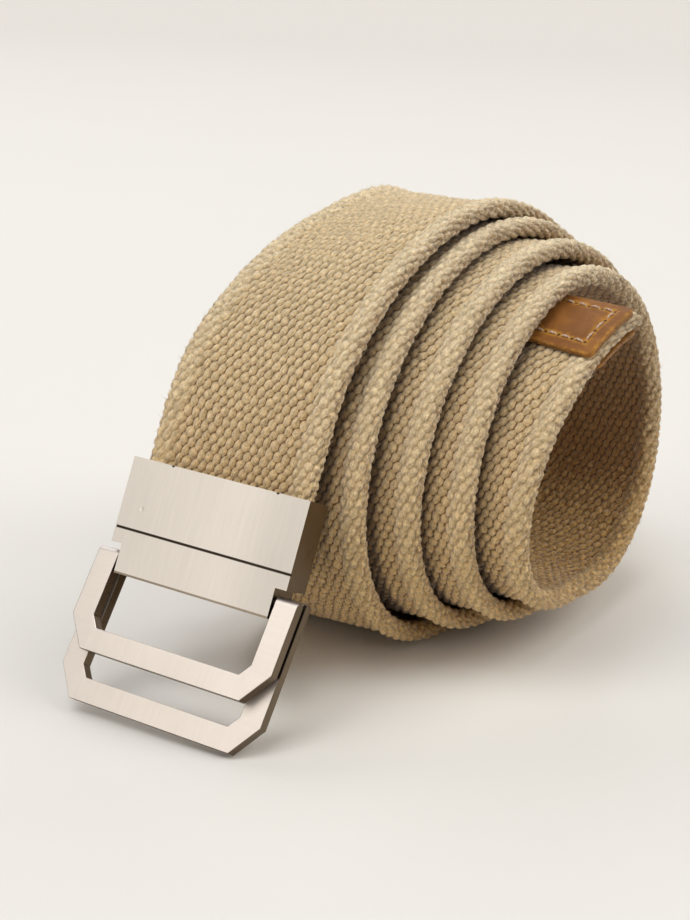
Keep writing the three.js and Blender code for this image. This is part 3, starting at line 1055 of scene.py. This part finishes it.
def along_loop(x, y, reach):
    """How far along a loop's arms and bar a place is, fanned round its corners."""
    aside = x.math("ABSOLUTE")
    to_bar = reach - LOOP_BAR
    down = (y + PIN_DOWN) * -1 / math.cos(LOOP_LEAN)
    past = (aside - LOOP_INNER / 2).math("MAXIMUM", 0)
    corner = past.math("ARCTAN2", (down - to_bar).math("MAXIMUM", 0))
    above = (down * -1 + to_bar).math("MAXIMUM", 0)
    arm_apart = x.math("SIGN") * 60
    return aside.math("MINIMUM", LOOP_INNER / 2) + corner * 3.5 + above + arm_apart


def nickel_paint(name, shine, reach=None, pin_depth=0, crack_side=0):
    """Brushed metal, grained across each bar, with bright faces, and sides and undersides painted
    dark as shade and dark reflection.

    A loop gives its reach from its pin, its pin's depth and its side toward the other loop."""
    paint = Paint(name, Metallic=1.0)
    x, y, z = in_buckle_frame(paint)
    run = along_loop(x, y, reach) if reach else x
    long = (y + x * 0.6) * 0.09
    fine = paint.noise(paint.vector(run * 5.5, long, z * 0.4), 1.0, detail=4, roughness=0.7)
    wide = paint.noise(paint.vector(run * 1.1, long, z * 0.2), 1.0, detail=2)
    cloud = paint.noise(paint.place(), 60, detail=2)
    normal = paint.node("ShaderNodeTexCoord", out="Normal")
    dot = {"operation": "DOT_PRODUCT"}
    sideways, upward = (
        paint.node("ShaderNodeVectorMath", dot, {0: normal, 1: BUCKLE_TURN.col[i]}, out="Value")
        for i in (0, 1)
    )
    # painted shade and dark reflection where the metal faces sideways or down
    side = sideways.math("ABSOLUTE").between(0.3, 0.65)
    side = side.math("MAXIMUM", upward.between(-0.15, -0.5))
    colour = paint.tinted(shine, 1 + (fine - 0.5) * 0.22 + (wide - 0.5) * 0.08)
    if reach:
        # painted shade in the crack where the loops meet
        dark, dark_colour = shade_between_loops(x, y, z, pin_depth, crack_side), METAL_CRACK_SHADE
        dimple = 0
    else:
        dark, dimple = box_marks(x, y, z)
        dark_colour = METAL_MARK
        # the box's face darkens toward its right
        colour = paint.mixed(x.between(4, 19) * 0.17, colour, BLACK)
        # painted shade below the knuckle's end
        below = y.between(0.5 - KNUCKLE_END, 0.35 - KNUCKLE_END)
        side = side.math("MAXIMUM", below * 0.85)
    colour = paint.mixed(side, colour, METAL_SIDE_SHADE)
    colour = paint.mixed(dark, colour, dark_colour)
    rough = 0.42 + (fine - 0.5) * 0.2 + (cloud - 0.5) * 0.08 - side * 0.12
    height = fine + wide * 0.5 - dimple * 9
    paint.into(Base_Color=colour, Roughness=rough, Normal=paint.bump(height, 0.3, 0.012 * MM))
    return paint.material


def steel_paint():
    paint = Paint("pin_steel", Metallic=1.0)
    x = in_buckle_frame(paint)[0]
    rings = paint.noise(paint.vector(x * 4), 1.0, detail=3)
    patchy = paint.noise(paint.place(), 500, detail=3)
    rough = 0.38 + (rings - 0.5) * 0.3
    colour = paint.mixed(patchy, STEEL_DARK, STEEL_PALE)
    paint.into(Base_Color=colour, Roughness=rough, Normal=paint.bump(rings, 0.3, 0.01 * MM))
    return paint.material


def paper_paint():
    """The pale table, with painted shade that darkens it a little far off."""
    paint = Paint("table_paper", Roughness=0.9, Specular_IOR_Level=0.0)
    space = paint.place()
    cloud = paint.noise(space, 5, detail=3)
    grain = paint.noise(space, 900, detail=2)
    # painted shade farther back
    away = paint.parts(space)[1].between(0.1, 2.5)
    colour = paint.mixed(away, paint.mixed(cloud, PAPER_DARK, PAPER_PALE), PAPER_FAR_SHADE)
    paint.into(Base_Color=colour, Normal=paint.bump(grain, 0.1, 0.02 * MM))
    return paint.material


cotton = cotton_paint()
fibre_cotton = fibre_paint()
leather = leather_paint()
thread = thread_paint()
nickel = nickel_paint("brushed_nickel", BOX_SHINE)
nickel_front = nickel_paint("brushed_nickel_front_loop", LOOP_SHINE, FRONT_REACH, PIN_FRONT_DEPTH, -1)
nickel_rear = nickel_paint("brushed_nickel_rear_loop", LOOP_SHINE, REAR_REACH, PIN_REAR_DEPTH, 1)
pin_steel = steel_paint()
table_paper = paper_paint()


# Buckle


def by_groove(edge):
    """Whether an edge of the box belongs to its groove."""
    middle = np.array((edge.verts[0].co + edge.verts[1].co) / 2) / MM
    in_buckle = turned(BUCKLE_TURN.transposed(), middle - ROLL_SHIFT - MOUTH)
    return abs(in_buckle[1] + GROOVE_DOWN) < GROOVE_KEPT


def softened(node, body, width, material, skip=lambda edge: False):
    """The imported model's own form, with its sharp edges eased."""
    mesh_maker = bmesh.new()
    mesh_maker.from_mesh(frame["nodes"][node].data)
    bmesh.ops.remove_doubles(mesh_maker, verts=mesh_maker.verts, dist=1e-6)
    bmesh.ops.dissolve_limit(
        mesh_maker, angle_limit=math.radians(0.5), verts=mesh_maker.verts, edges=mesh_maker.edges
    )
    sharp = [
        edge for edge in mesh_maker.edges if edge.calc_face_angle(0) > SHARP and not skip(edge)
    ]
    bmesh.ops.bevel(
        mesh_maker, geom=sharp, affect="EDGES", offset=width * MM, segments=3, profile=0.5,
        material=-1, clamp_overlap=True,
    )
    for face in mesh_maker.faces:
        face.smooth = True
    for edge in mesh_maker.edges:
        edge.smooth = edge.calc_face_angle(0) < SHARP
    piece = finished(mesh_maker, node + "_brushed", body, material, [node])
    even = piece.modifiers.new("even_shading", "WEIGHTED_NORMAL")
    even.keep_sharp = True
    return piece


# Stage


def floor_sheet():
    """The table, flat under the belt and rising a little far away."""
    mesh_maker = bmesh.new()
    bmesh.ops.create_grid(
        mesh_maker, x_segments=FLOOR_PARTS, y_segments=FLOOR_PARTS, size=FLOOR_HALF
    )
    for vert in mesh_maker.verts:
        past = min(max(vert.co.length - FLOOR_FLAT, 0) / (FLOOR_HALF - FLOOR_FLAT), 1)
        vert.co.z = FLOOR_RISE * past**2
    for face in mesh_maker.faces:
        face.smooth = True
    table = meshed(mesh_maker, "table", table_paper)


def way_to(azimuth, height):
    """The way from the belt to a place round from the front toward the right, and up."""
    level = math.cos(height)
    return Vector((math.sin(azimuth) * level, -math.cos(azimuth) * level, math.sin(height)))


def place_camera():
    data = bpy.data.cameras.new("camera")
    data.sensor_width = SENSOR
    data.lens = FOCAL_PIXELS * SENSOR / PHOTO_HEIGHT
    data.clip_start = 0.01
    camera = in_scene("camera", data)
    back = way_to(CAMERA_AZIMUTH, CAMERA_ELEVATION)
    camera.location = (Vector(CAMERA_TARGET + ROLL_SHIFT) + back * CAMERA_DISTANCE) * MM
    upright = (-back).to_track_quat("-Z", "Y").to_matrix()
    camera.rotation_euler = (upright @ Matrix.Rotation(CAMERA_ROLL, 3, "Z")).to_euler()
    bpy.context.scene.camera = camera


def soft_light(name, azimuth, height, strength, colour):
    """A wide, far light, so that the whole table is lit alike."""
    data = bpy.data.lights.new(name, "SUN")
    data.angle = LIGHT_SPREAD
    data.energy = strength
    data.color = colour
    lamp = in_scene(name, data)
    way = way_to(math.radians(azimuth), math.radians(height))
    lamp.location = way * LIGHT_AWAY
    lamp.rotation_euler = (-way).to_track_quat("-Z", "Y").to_euler()


def light_scene():
    world = bpy.data.worlds.new("studio")
    bpy.context.scene.world = world
    world.use_nodes = True
    sky = world.node_tree.nodes["Background"]
    sky.inputs["Color"].default_value = SKY_COLOUR
    sky.inputs["Strength"].default_value = SKY_STRENGTH
    for light in STUDIO_LIGHTS:
        soft_light(*light)
    bpy.context.scene.view_settings.view_transform = "Standard"


for lap in LAPS:
    woven_piece(*lap)
loose_fibres("webbing_fuzz")
softened("buckle_housing", "belt", BOX_EASE, nickel, skip=by_groove)
softened("loop_front", "front_loop", LOOP_EASE, nickel_front)
softened("loop_rear", "rear_loop", LOOP_EASE, nickel_rear)
for name in ("pin_front", "pin_rear"):
    frame["nodes"][name].data.materials.clear()
    frame["nodes"][name].data.materials.append(pin_steel)
leather_layer("tip_front_leather", "tip_front", 1, TIP_FRONT)
leather_layer("tip_back_leather", "tip_back", -1, TIP_BACK)
seam_stitches("tip_front_stitches", 1)
seam_stitches("tip_back_stitches", -1)
floor_sheet()
place_camera()
light_scene()
